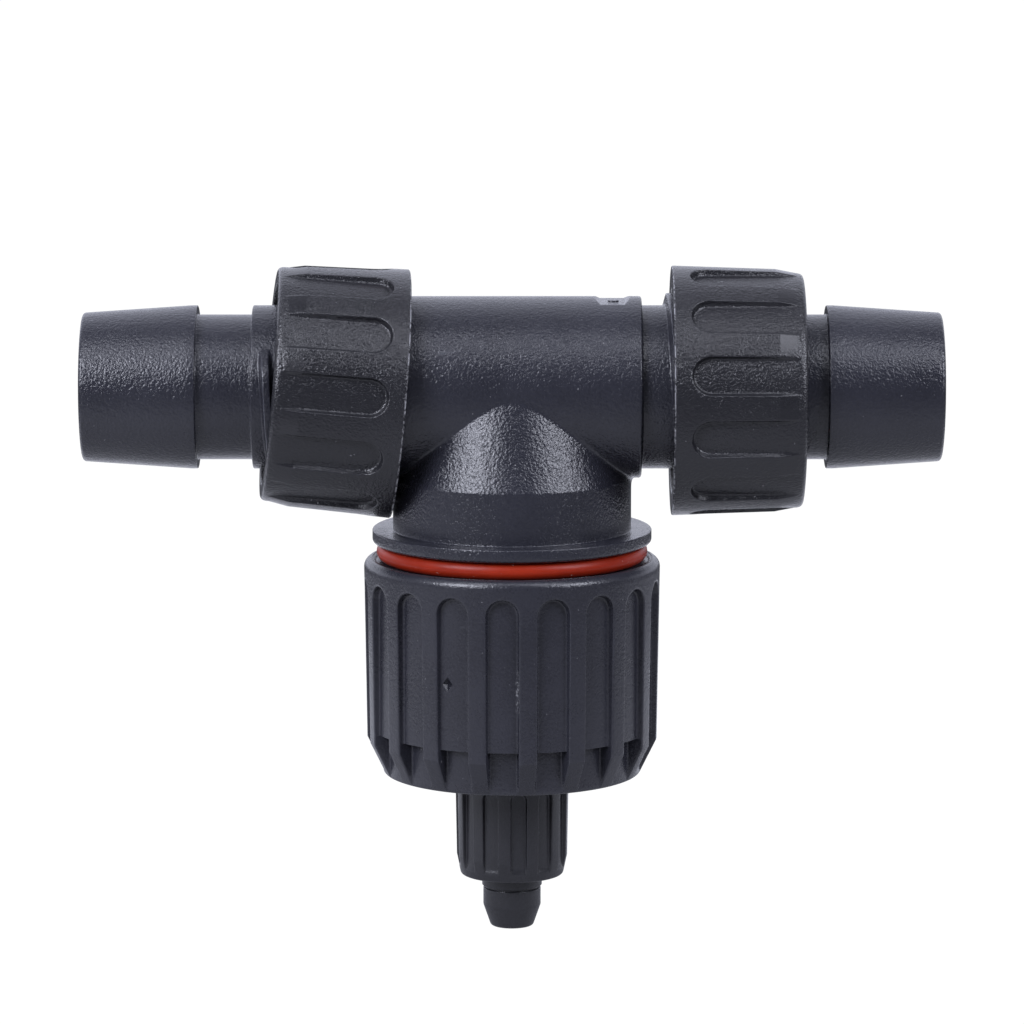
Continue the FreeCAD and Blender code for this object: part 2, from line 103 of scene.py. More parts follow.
def rounded_outline(corners, step):
    """Closed outline from (place, radius, rounding) corners, and where each corner's arc ends in it."""
    bent, corner_of = [], []
    for i, (place, radius, rounding) in enumerate(corners):
        here = Vector((place, radius))
        back = Vector(corners[i - 1][:2]) - here
        ahead = Vector(corners[(i + 1) % len(corners)][:2]) - here
        if rounding <= 0:
            bent.append(here)
            corner_of.append(i)
            continue
        half = back.angle(ahead) / 2
        back.normalize()
        ahead.normalize()
        reach = rounding / math.tan(half)
        centre = here + (back + ahead).normalized() * rounding / math.sin(half)
        first = here + back * reach - centre
        last = here + ahead * reach - centre
        sweep = math.atan2(first.cross(last), first.dot(last))
        count = max(2, round(ARC_STEPS * abs(sweep) / (math.pi / 2)))
        for k in range(count + 1):
            turn = Matrix.Rotation(sweep * k / count, 2)
            bent.append(centre + turn @ first)
            corner_of.append(i)
    outline, ends = [], [0] * len(corners)
    for i, here in enumerate(bent):
        ahead = bent[(i + 1) % len(bent)]
        ends[corner_of[i]] = len(outline)
        count = max(1, math.ceil((ahead - here).length / step))
        outline += [here.lerp(ahead, k / count) for k in range(count)]
    return np.array(outline), ends


class Ridge:
    """Right-hand screw ridge on a surface of revolution; height is negative inside a bore."""

    def __init__(self, start, angle, pitch, turns, height, root_width, crest_width, base_radius,
                 mirrored=False, ramp=0.06):
        self.start = start
        self.angle = angle
        self.pitch = pitch
        self.turns = turns
        self.height = height
        self.root = root_width / 2
        self.crest = crest_width / 2
        self.base_radius = base_radius
        self.mirrored = mirrored
        self.ramp = ramp

    def rise(self, angles, places, radii):
        """Radius to add at each (angle, place) whose surface lies at the base radius."""
        sign = -1.0 if self.mirrored else 1.0
        first = np.mod(sign * (angles - self.angle) / (2 * math.pi), 1.0)
        rise = np.zeros_like(places)
        for k in range(math.ceil(self.turns) + 1):
            along = first + k
            inside = (along <= self.turns)
            centre = self.start + self.pitch * along
            off = np.abs(sign * places - centre)
            flank = np.clip((self.root - off) / (self.root - self.crest), 0.0, 1.0)
            flank = flank * flank * (3 - 2 * flank) * 0.35 + flank * 0.65
            ends = np.clip(np.minimum(along, self.turns - along) / self.ramp, 0.0, 1.0)
            ends = ends * ends * (3 - 2 * ends)
            rise = np.maximum(rise, np.where(inside, flank * ends, 0.0))
        near = np.abs(radii - self.base_radius) < 0.03
        return np.where(near, rise * self.height, 0.0)


OUTER_EDGE = "outer_edge"


def mark_outer_edges(mesh):
    """Store how convex the surface is at each vertex: 0.5 where it is flat, more on outer edges."""
    count = len(mesh.vertices)
    places = np.empty(count * 3)
    mesh.vertices.foreach_get("co", places)
    places = places.reshape(-1, 3)
    normals = np.empty(count * 3)
    mesh.vertices.foreach_get("normal", normals)
    normals = normals.reshape(-1, 3)
    ends = np.empty(len(mesh.edges) * 2, dtype=np.int32)
    mesh.edges.foreach_get("vertices", ends)
    first, second = ends.reshape(-1, 2).T
    way = places[second] - places[first]
    way /= np.linalg.norm(way, axis=1)[:, None]
    links = np.bincount(first, minlength=count) + np.bincount(second, minlength=count)
    lean = np.zeros(count)
    for axis in range(3):
        onward = np.bincount(first, way[:, axis], count) - np.bincount(second, way[:, axis], count)
        lean += onward / links * normals[:, axis]
    bend = np.arccos(np.clip(lean, -1.0, 1.0)) / math.pi
    around = np.bincount(first, bend[second], count) + np.bincount(second, bend[first], count)
    bend = (bend + around) / (links + 1)
    marks = mesh.attributes.new(OUTER_EDGE, "FLOAT", "POINT")
    marks.data.foreach_set("value", bend.astype(np.float32))


def mesh_object(name, points, faces):
    """Mesh object from millimetre points, welded and smooth-shaded."""
    mesh = bpy.data.meshes.new(name)
    mesh.from_pydata([tuple(p) for p in np.asarray(points) * MM], [], faces)
    work = bmesh.new()
    work.from_mesh(mesh)
    bmesh.ops.remove_doubles(work, verts=work.verts, dist=5e-7)
    bmesh.ops.recalc_face_normals(work, faces=work.faces)
    work.to_mesh(mesh)
    work.free()
    mark_outer_edges(mesh)
    mesh.shade_smooth()
    obj = bpy.data.objects.new(name, mesh)
    bpy.context.scene.collection.objects.link(obj)
    weighted = obj.modifiers.new("weighted normals", "WEIGHTED_NORMAL")
    weighted.weight = 50
    return obj


def ring_faces(rows, columns):
    """Quads of a grid that closes on itself across its columns."""
    faces = []
    for j in range(rows - 1):
        for i in range(columns):
            n = (i + 1) % columns
            faces.append((j * columns + i, j * columns + n, (j + 1) * columns + n, (j + 1) * columns + i))
    return faces


def turned_rows(outline, angles, ridges=()):
    """Points of a surface of revolution about Z: one ring of points per outline point."""
    place = np.repeat(outline[:, 0], len(angles))
    radius = np.repeat(outline[:, 1], len(angles))
    angle = np.tile(angles, len(outline))
    for ridge in ridges:
        radius = radius + ridge.rise(angle, place, np.repeat(outline[:, 1], len(angles)))
    return np.stack([radius * np.cos(angle), radius * np.sin(angle), place], axis=1)


def turning(name, corners, step, columns):
    """Closed solid of revolution about Z."""
    outline, _ = rounded_outline(corners, step)
    outline = np.vstack([outline, outline[:1]])
    angles = np.arange(columns) * 2 * math.pi / columns
    return mesh_object(name, turned_rows(outline, angles), ring_faces(len(outline), columns))


class Flutes:
    """Evenly spaced slots with a round upper end, cut into the outside of a turning.

    The floor is a function of the place; edge and foot are the roundings of the slot's rim and floor.
    """

    def __init__(self, count, angle, width, start, floor, edge, foot, wall):
        self.count = count
        self.angle = angle
        self.half = width / 2
        self.start = start
        self.floor = floor
        self.edge = edge
        self.foot = foot
        self.wall = wall

    def offsets(self):
        """How far outside the slot's outline each ring of points lies, from the land inwards."""
        top = [self.edge * (1 - math.sin(math.radians(a))) for a in (0, 22.5, 45, 67.5, 90)]
        low = [-self.wall - self.foot * (1 - math.cos(math.radians(b))) for b in (0, 30, 60, 90)]
        return top + low

    def depth(self, off, full):
        """Depth below the land at a distance outside the outline, where the floor lies `full` deep."""
        scale = np.clip(full / (self.edge + self.foot), 0.0, 1.0)
        t = np.clip(1 - off / self.edge, 0.0, 1.0)
        over_edge = self.edge * scale * (1 - np.sqrt(np.clip(1 - t * t, 0, 1)))
        w = np.clip(-off / self.wall, 0.0, 1.0)
        on_wall = self.edge * scale + w * (full - (self.edge + self.foot) * scale)
        b = np.clip(1 - (-self.wall - off) / self.foot, 0.0, 1.0)
        on_foot = full - self.foot * scale * (1 - np.sqrt(np.clip(1 - b * b, 0, 1)))
        depth = np.where(off >= 0, over_edge, np.where(off > -self.wall, on_wall, on_foot))
        return np.where(off < -self.wall - self.foot, full, depth)


def with_rows(outline, places, radius_over):
    """The outline with extra points where its outer part crosses the given places."""
    result = []
    for here, ahead in zip(outline, np.roll(outline, -1, axis=0)):
        result.append(here)
        low, high = sorted((here[0], ahead[0]))
        if min(here[1], ahead[1]) < radius_over or high - low < 1e-9:
            continue
        inside = [p for p in places if low + 1e-6 < p < high - 1e-6]
        inside.sort(key=lambda p: abs(p - here[0]))
        for p in inside:
            result.append(here + (ahead - here) * (p - here[0]) / (ahead[0] - here[0]))
    return np.array(result)


def fluted_turning(name, corners, band_corner, flutes, ridges, thread_rows, step=0.25,
                   cell_columns=28, extra_rows=()):
    """Solid of revolution about Z with slots in the band from corner 0 to just past the band corner."""
    outline, ends = rounded_outline(corners, step)
    first, last = ends[0], ends[band_corner] + 2
    far_end = outline[last]
    outline = with_rows(outline, extra_rows, flutes.floor(0.0) - 1.0)
    outline = with_rows(outline, thread_rows, 0.0)
    last = int(np.argmin(np.hypot(*(outline - far_end).T)))
    band = outline[first:last + 1]
    along = np.concatenate([[0], np.cumsum(np.hypot(*np.diff(band, axis=0).T))])
    reference = band[0, 1]
    floor = np.array([flutes.floor(place) for place in band[:, 0]])
    full = np.maximum(band[:, 1] - floor, 0.0)
    cell = 2 * math.pi / flutes.count
    half_cell = cell * reference / 2
    columns = np.linspace(-half_cell, half_cell, cell_columns + 1)
    rising = 1.0 if band[-1, 0] > band[0, 0] else -1.0
    begin = np.interp(rising * flutes.start, rising * band[:, 0], along)
    centre = begin + flutes.half
    open_rows = np.nonzero((full <= 1e-6) & (along > centre))[0]
    stop_row = open_rows[0] if len(open_rows) else len(along) - 1

    def outside(x, y):
        return np.where(y < centre, np.hypot(x, y - centre), np.abs(x)) - flutes.half

    points, edges = [], []
    offsets = flutes.offsets()
    clear_out, clear_in = offsets[0] + 0.06, offsets[-1] - 0.06
    for row, y in enumerate(along):
        before = None
        for column, x in enumerate(columns):
            off = outside(x, y)
            if row <= stop_row and clear_in < off < clear_out:
                before = None
                continue
            points.append((x, y))
            if before is not None:
                edges.append((before, len(points) - 1))
            before = len(points) - 1
    straight = [y for y in along[:stop_row + 1] if y > centre + 0.05]
    for off in offsets:
        wide = flutes.half + off
        loop = [(wide, y) for y in reversed(straight)]
        loop += [(wide * math.cos(a), centre - wide * math.sin(a)) for a in np.linspace(0, math.pi, 33)]
        loop += [(-wide, y) for y in straight]
        base = len(points)
        points += loop
        edges += [(base + i, base + i + 1) for i in range(len(loop) - 1)]
    flat = delaunay_2d_cdt([Vector(p) for p in points], edges, [], 0, 1e-7)
    xy = np.array([tuple(v) for v in flat[0]])
    triangles = np.array([tuple(f) for f in flat[2]])
    place = np.interp(xy[:, 1], along, band[:, 0])
    base_radius = np.interp(xy[:, 1], along, band[:, 1])
    deep = np.interp(xy[:, 1], along, full)
    off = outside(xy[:, 0], xy[:, 1])
    cut = np.where(xy[:, 1] <= along[stop_row] + 1e-9, flutes.depth(off, deep), 0.0)
    radius = base_radius - cut
    all_points, all_faces = [], []
    count = 0
    for i in range(flutes.count):
        angle = flutes.angle + i * cell + xy[:, 0] / reference
        all_points.append(np.stack([radius * np.cos(angle), radius * np.sin(angle), place], axis=1))
        all_faces += [tuple(t) for t in (triangles + count)]
        count += len(xy)
    rest = np.vstack([outline[last:], outline[:first + 1]])
    ring = flutes.count * cell_columns
    angles = flutes.angle - cell / 2 + np.arange(ring) * 2 * math.pi / ring
    all_points.append(turned_rows(rest, angles, ridges))
    all_faces += [tuple(v + count for v in face) for face in ring_faces(len(rest), ring)]
    return mesh_object(name, np.vstack(all_points), all_faces)


# ---- Tee moulding -------------------------------------------------------------------------

def branch_radius(z):
    """Radius of the saddle cone and the branch below it."""
    slope = (BRANCH_RADIUS - RUN_RADIUS) / (SADDLE_TOP - SADDLE_BOTTOM)
    cone = RUN_RADIUS + (SADDLE_TOP - z) * slope
    return np.minimum(cone, BRANCH_RADIUS)


def port_radius(z):
    """Radius of the port between run bore and chamber."""
    return np.full_like(z, PORT_RADIUS)


def meeting_heights(angles, run_radius, upright_radius):
    """Height at which an upright turned surface meets the run's cylinder, for each angle around Z."""
    low = np.full_like(angles, -run_radius)
    high = np.zeros_like(angles)
    for _ in range(50):
        middle = (low + high) / 2
        beyond = (upright_radius(middle) * np.sin(angles)) ** 2 + middle ** 2 > run_radius ** 2
        low = np.where(beyond, middle, low)
        high = np.where(beyond, high, middle)
    return (low + high) / 2


def in_polygon(points, polygon):
    """Which 2-D points lie inside a closed polygon."""
    inside = np.zeros(len(points), bool)
    x, y = points[:, 0], points[:, 1]
    for (x0, y0), (x1, y1) in zip(polygon, np.roll(polygon, -1, axis=0)):
        crosses = (y0 > y) != (y1 > y)
        with np.errstate(divide="ignore", invalid="ignore"):
            hit = x < (x1 - x0) * (y - y0) / (y1 - y0) + x0
        inside ^= crosses & hit
    return inside


def on_run(angle, x, radius):
    """Point on the run: the angle is counted from straight down towards +Y."""
    return np.stack([x, radius * np.sin(angle), -radius * np.cos(angle)], axis=-1)


# Angle at which the run's skin is cut open to be laid flat: behind and above, clear of the branch.
SEAM = math.radians(-225)


def pierced_band(radius, half_length, columns, rows, upright_radius, ring_points, fillet,
                 end_fillet=(0.0, 0.0), dent=None):
    """Middle of a run cylinder with a hole where an upright surface meets it, and the fillet strip.

    The end fillet is what is added along the run and down the branch at the two ends of the hole.

    Returns points, faces and the strip's rows, each with ring_points points around Z.
    """
    around = np.arange(ring_points) * 2 * math.pi / ring_points
    height = meeting_heights(around, radius, upright_radius)
    wide = upright_radius(height)
    edge = np.stack([wide * np.cos(around), wide * np.sin(around), height], axis=1)
    flat_edge = np.stack([radius * np.arctan2(edge[:, 1], -edge[:, 2]), edge[:, 0]], axis=1)
    tangent = np.roll(flat_edge, -1, axis=0) - np.roll(flat_edge, 1, axis=0)
    normal = np.stack([tangent[:, 1], -tangent[:, 0]], axis=1)
    normal /= np.linalg.norm(normal, axis=1)[:, None]
    normal *= np.sign(np.sum(normal * flat_edge, axis=1))[:, None]
    near_ends = np.cos(around) ** 4
    wide_fillet = (fillet + end_fillet[0] * near_ends)[:, None]
    outer = flat_edge + normal * wide_fillet
    margin = flat_edge + normal * (wide_fillet + 0.06)
    lower_height = height - fillet - end_fillet[1] * near_ends
    lower_wide = upright_radius(lower_height)
    lower = np.stack([lower_wide * np.cos(around), lower_wide * np.sin(around), lower_height], axis=1)
    start = on_run(outer[:, 0] / radius, outer[:, 1], radius)
    strip = []
    for t in (0.0, 0.25, 0.5, 0.75, 1.0):
        strip.append(start * (1 - t) ** 2 + edge * 2 * t * (1 - t) + lower * t * t)

    grid_angles = SEAM + np.arange(columns + 1) * 2 * math.pi / columns
    grid_x = np.linspace(-half_length, half_length, rows + 1)
    u, x = np.meshgrid(grid_angles * radius, grid_x)
    grid = np.stack([u.ravel(), x.ravel()], axis=1)
    grid = grid[~in_polygon(grid, margin)]
    points, edges = list(map(tuple, grid)), []
    base = len(points)
    points += list(map(tuple, outer))
    edges += [(base + i, base + (i + 1) % ring_points) for i in range(ring_points)]
    if dent is not None:
        for line in dent.lines(radius):
            base = len(points)
            points += line
            edges += [(base + i, base + i + 1) for i in range(len(line) - 1)]
    flat = delaunay_2d_cdt([Vector(p) for p in points], edges, [], 0, 1e-6)
    xy = np.array([tuple(v) for v in flat[0]])
    triangles = np.array([tuple(f) for f in flat[2]])
    keep = ~in_polygon(xy[triangles].mean(axis=1), outer)
    triangles = triangles[keep]
    angle = xy[:, 0] / radius
    deep = np.full(len(xy), radius)
    if dent is not None:
        deep = dent.radius(angle, xy[:, 1], radius)
    return on_run(angle, xy[:, 1], deep), [tuple(t) for t in triangles], strip


class GateDent:
    """Shallow recess on top of the run where the plastic was fed in."""

    low, high, floor, slope = 6.8, 9.8, 7.16, 0.5
    top_angle = -math.pi

    def lines(self, radius):
        """Its rim and its floor's edges as lines on the unrolled cylinder."""
        reach = math.acos(self.floor / radius)
        lines = []
        turns = np.linspace(-reach, reach, 41)
        lift = (radius - radius * np.cos(turns)) / (radius - self.floor)
        for start, sign in ((self.low, 1.0), (self.high, -1.0)):
            rim = start + sign * self.slope * lift
            lines.append([(radius * (self.top_angle + t), x) for t, x in zip(turns, rim)])
            foot = start + sign * self.slope
            inner = turns[1:-1]
            lines.append([(radius * (self.top_angle + t), foot) for t in inner])
        for side in (-reach, reach):
            span = np.linspace(self.low + self.slope + 0.05, self.high - self.slope - 0.05, 20)
            lines.append([(radius * (self.top_angle + side), x) for x in span])
        return lines

    def radius(self, angle, x, radius):
        """Radius of the cylinder with the recess pressed into it."""
        off = angle - self.top_angle
        rise = np.minimum(x - self.low, self.high - x) / self.slope
        limit = radius - np.clip(rise, 0.0, 1.0) * (radius - self.floor)
        height = radius * np.cos(off)
        inside = (rise > 0) & (height > limit) & (np.abs(off) < 0.6)
        return np.where(inside, radius * limit / np.maximum(height, 1e-6), radius)


def tee_moulding():
    """Run, saddle, branch, flange and spigot as one closed skin."""
    columns, ring_points = 360, 288
    half_band, half_bore_band = 10.45, 3.6
    fillet = 0.22
    points, faces = [], []
    count = 0

    def add(new_points, new_faces):
        nonlocal count
        points.append(new_points)
        faces.extend(tuple(v + count for v in face) for face in new_faces)
        count += len(new_points)

    band = pierced_band(
        RUN_RADIUS, half_band, columns, 80, branch_radius, ring_points, fillet, (0.12, 0.6), GateDent(),
    )
    bore = pierced_band(RUN_BORE, half_bore_band, columns, 30, port_radius, ring_points, 0.15)
    add(band[0], band[1])
    add(bore[0], bore[1])

    corners = [
        (half_band, RUN_RADIUS, 0),
        (MIDDLE_HALF, RUN_RADIUS, 0.22),
        (MIDDLE_HALF, RELIEF_RADIUS, 0.12),
        (THREAD_SHOULDER, RELIEF_RADIUS, 0.12),
        (THREAD_SHOULDER, NECK_RADIUS, 0.12),
        (BARB_SHOULDER, NECK_RADIUS, 0.1),
        (BARB_SHOULDER, BARB_RADIUS, 0.07),
        (BARB_SHOULDER + 0.55, BARB_RADIUS, 1.5),
        (RUN_END, TIP_RADIUS, 0.3),
        (RUN_END, RUN_BORE, 0.25),
        (half_bore_band, RUN_BORE, 0),
    ]
    outline, ends = rounded_outline(corners, 0.4)
    outline = outline[:ends[-1] + 1]
    outline = with_rows(outline, np.arange(12.4, 21.2, 0.08), NECK_RADIUS + 0.3)[:-1]
    outline = np.vstack([outline, [(half_bore_band, RUN_BORE)]])
    for side, start, turns in HOSE_THREADS:
        thread = Ridge(
            start, math.pi - side * 2 * math.pi * 0.09, HOSE_PITCH, turns, HOSE_THREAD_CREST - RELIEF_RADIUS,
            HOSE_THREAD_ROOT_WIDTH, HOSE_THREAD_CREST_WIDTH, RELIEF_RADIUS, mirrored=side < 0,
        )
        angles = SEAM + np.arange(columns) * 2 * math.pi / columns
        place = np.repeat(outline[:, 0], columns)
        radius = np.repeat(outline[:, 1], columns)
        angle = np.tile(angles, len(outline))
        radius = radius + thread.rise(angle, side * place, radius)
        add(on_run(angle, side * place, radius), ring_faces(len(outline), columns))

    around = np.arange(ring_points) * 2 * math.pi / ring_points
    rows = list(band[2])
    start = rows[-1][:, 2]
    edge = np.minimum(SADDLE_BOTTOM, start - 0.1)
    stop = np.full_like(start, FLANGE_TOP + 0.3)
    heights = [start + (edge - start) * t for t in np.linspace(0, 1, 26)[1:-1]]
    heights += [edge + np.minimum(0.06, (start - edge) * 0.5), edge, edge - 0.06]
    heights += [edge - 0.06 + (stop - edge + 0.06) * t for t in np.linspace(0, 1, 14)[1:]]
    for height in heights:
        wide = branch_radius(height)
        rows.append(np.stack([wide * np.cos(around), wide * np.sin(around), height], axis=1))
    lower_corners = [
        (FLANGE_TOP + 0.3, BRANCH_RADIUS, 0),
        (FLANGE_TOP, BRANCH_RADIUS, 0.1),
        (FLANGE_TOP, FLANGE_RADIUS, 0.1),
        (FLANGE_BOTTOM, FLANGE_RADIUS, 0.35),
        (FLANGE_BOTTOM, SPIGOT_RADIUS, 0.1),
        (SPIGOT_END, SPIGOT_RADIUS, 0.2),
        (SPIGOT_END, CHAMBER_RADIUS, 0.2),
        (CHAMBER_ROOF, CHAMBER_RADIUS, 0.3),
        (CHAMBER_ROOF + 2.5, PORT_RADIUS, 0.3),
        (PORT_TOP, PORT_RADIUS, 0),
    ]
    lower, ends = rounded_outline(lower_corners, 0.5)
    lower = lower[:ends[-1] + 1]
    lower = with_rows(lower, np.arange(-24.6, -15.6, 0.08), SPIGOT_RADIUS - 0.05)[:-1]
    lower = np.vstack([lower, [(PORT_TOP, PORT_RADIUS)]])
    thread = Ridge(
        SPIGOT_THREAD_START - SPIGOT_THREAD_TURNS * CAP_PITCH, 0.0, CAP_PITCH, SPIGOT_THREAD_TURNS,
        CAP_THREAD_HEIGHT, CAP_THREAD_ROOT_WIDTH, CAP_THREAD_CREST_WIDTH, SPIGOT_RADIUS,
    )
    for place, radius in lower:
        height = np.full_like(around, place)
        wide = radius + thread.rise(around, height, np.full_like(around, radius))
        rows.append(np.stack([wide * np.cos(around), wide * np.sin(around), height], axis=1))
    rows += list(reversed(bore[2]))
    add(np.vstack(rows), ring_faces(len(rows), ring_points))
    return mesh_object("tee_moulding", np.vstack(points), faces)


# ---- Other turned pieces ------------------------------------------------------------------

def chamber_cap():
    """Fluted cap with its O-ring seat, threaded bore, well and threaded stem."""
    corners = [
        (-14.33, 12.37, 0.7),
        (-29.6, 12.15, 0.15),
        (-32.5, 10.72, 0.3),
        (-32.5, STEM_RADIUS, 0.1),
        (-38.4, STEM_RADIUS, 0.1),
        (-38.4, 1.97, 0.05),
        (-35.8, 1.97, 0),
        (-35.8, 1.0, 0),
        (-34.6, 1.0, 0),
        (-34.6, 1.5, 0),
        (-31.0, 1.5, 0.05),
        (-31.0, 3.45, 0),
        (-30.6, 3.45, 0.05),
        (-30.6, 8.9, 0.1),
        (-28.31, 8.9, 0),
        (-28.31, 9.45, 0),
        (-27.49, 9.45, 0),
        (-27.49, 8.9, 0),
        (-26.1, 8.9, 0.1),
        (-25.3, CAP_BORE_RADIUS, 0.1),
        (-14.53, CAP_BORE_RADIUS, 0.1),
        (-14.53, 11.39, 0.05),
        (-14.45, 11.39, 0),
        (-14.33, 11.74, 0.05),
    ]
    flutes = Flutes(
        18, math.radians(-93.7), 2.75, -15.95, lambda z: 11.7 if z > -28.75 else 10.8,
        edge=0.14, foot=0.16, wall=0.05,
    )
    inside_thread = Ridge(
        -22.4, 0.0, CAP_PITCH, 1.5, -CAP_THREAD_HEIGHT, CAP_THREAD_ROOT_WIDTH, CAP_THREAD_CREST_WIDTH,
        CAP_BORE_RADIUS,
    )
    stem_thread = Ridge(
        -37.9, 0.0, TUBE_PITCH, 4.0, 0.42, TUBE_THREAD_ROOT_WIDTH, TUBE_THREAD_CREST_WIDTH, STEM_RADIUS,
    )
    thread_rows = np.concatenate([np.arange(-38.3, -33.4, 0.06), np.arange(-23.2, -17.8, 0.12)])
    # The flutes' floor steps inwards at -28.75; close rows on both sides keep the step sharp.
    return fluted_turning(
        "chamber_cap_moulding", corners, 2, flutes, (inside_thread, stem_thread), thread_rows,
        extra_rows=(-28.79, -28.77, -28.73, -28.71),
    )


def tube_nut_floor(z):
    """Floor of the tube nut's flutes, which rises a little at the nut's lower end."""
    return 4.35 + 0.2 * min(max((-40.2 - z) / 0.8, 0.0), 1.0)


def tube_nut():
    """Small fluted nut on the cap's stem."""
    corners = [
        (-32.75, 4.77, 0.15),
        (-39.65, 4.65, 0.1),
        (-41.3, 4.3, 0.25),
        (-41.3, 2.68, 0.1),
        (-40.15, 2.68, 0),
        (-40.15, 3.2, 0),
        (-39.0, 3.2, 0),
        (-39.0, TUBE_NUT_BORE_RADIUS, 0),
        (-32.75, TUBE_NUT_BORE_RADIUS, 0.15),
    ]
    flutes = Flutes(
        12, math.radians(-82.9), 1.4, -33.55, tube_nut_floor, edge=0.09, foot=0.09, wall=0.03,
    )
    thread = Ridge(
        -36.4, 0.0, TUBE_PITCH, 1.25, -0.4, TUBE_THREAD_ROOT_WIDTH, TUBE_THREAD_CREST_WIDTH,
        TUBE_NUT_BORE_RADIUS,
    )
    return fluted_turning(
        "tube_nut_moulding", corners, 2, flutes, (thread,), np.arange(-36.9, -34.7, 0.06),
        step=0.15, cell_columns=20,
    )


def tube_tail():
    """Round-ended tail held under the tube nut."""
    return turning("tube_tail_moulding", [
        (-36.6, 1.9, 0.15),
        (-39.12, 1.9, 0),
        (-39.12, 3.1, 0.05),
        (-40.1, 3.1, 0.05),
        (-40.1, 2.52, 0.05),
        (-42.3, 2.52, 0.06),
        (-42.3, 2.22, 0.04),
        (-42.5, 2.22, 0.04),
        (-42.5, 2.42, 0.06),
        (-43.96, 2.42, 0.5),
        (-45.8, 1.78, 0.3),
        (-45.8, 1.2, 0.1),
        (-36.6, 1.2, 0.1),
    ], 0.2, 160)


def hose_nut(name, matrix, lug_at):
    """Fluted clamp nut with one short thread lug, built with its inner end at 0 along Z and put in place."""
    corners = [
        (0.0, 10.38, 0.12),
        (8.6, 10.1, 0.08),
        (10.9, 9.65, 0.4),
        (10.9, 8.4, 0.1),
        (9.8, 8.4, 0.05),
        (9.8, 8.72, 0),
        (4.2, 8.72, 0),
        (4.2, HOSE_NUT_BORE_RADIUS, 0.05),
        (0.0, HOSE_NUT_BORE_RADIUS, 0.15),
    ]
    flutes = Flutes(12, math.radians(13.7), 3.25, 1.45, lambda z: 9.75, edge=0.1, foot=0.22, wall=0.06)
    lug = Ridge(lug_at, 0.0, HOSE_PITCH, 0.16, -1.2, 0.8, 0.45, HOSE_NUT_BORE_RADIUS, ramp=0.02)
    nut = fluted_turning(
        name, corners, 2, flutes, (lug,), np.arange(2.0, 4.0, 0.1), step=0.2, cell_columns=36,
    )
    nut.matrix_world = matrix
    return nut


def o_ring():
    """Red sealing ring squeezed slightly under the flange."""
    points, faces = [], []
    around, across = 288, 32
    centre, cord, height = 10.56, 0.745, -13.76
    for i in range(around):
        turn = 2 * math.pi * i / around
        for k in range(across):
            side = 2 * math.pi * k / across
            wide = centre + cord * math.cos(side)
            points.append((wide * math.cos(turn), wide * math.sin(turn), height + cord * math.sin(side)))
            n, m = (i + 1) % around, (k + 1) % across
            faces.append((i * across + k, n * across + k, n * across + m, i * across + m))
    return mesh_object("flange_o_ring_cord", points, faces)


def gate_scar():
    """Small round stub left standing in the gate recess."""
    corners = [(7.0, 0.45, 0), (7.27, 0.45, 0.06), (7.27, 0.02, 0), (7.0, 0.02, 0)]
    scar = turning("gate_scar", corners, 0.1, 48)
    scar.data.transform(Matrix.Translation((8.4 * MM, 0, 0)))
    return scar


def turn_about(axis, degrees):
    return Matrix.Rotation(math.radians(degrees), 4, axis)


def shift(x, y, z):
    return Matrix.Translation((x * MM, y * MM, z * MM))


# The right nut sits square on its thread, 0.3 below the run's axis.
RIGHT_NUT_PLACE = (
    shift(13.25, 0, -0.3) @ turn_about("Y", 90) @ turn_about("Z", 90) @ turn_about("Z", -28)
)
# The left nut hangs loose and canted: 5.1 degrees about Y and 4 degrees about Z.
LEFT_NUT_PLACE = (
    shift(-14.79, 0, -0.15) @ turn_about("Y", 5.1) @ turn_about("Z", 4.0)
    @ turn_about("Y", -90) @ turn_about("Z", 90) @ shift(0, 0, -5.45) @ turn_about("Z", 21.2)
)


# ---- Materials ----------------------------------------------------------------------------

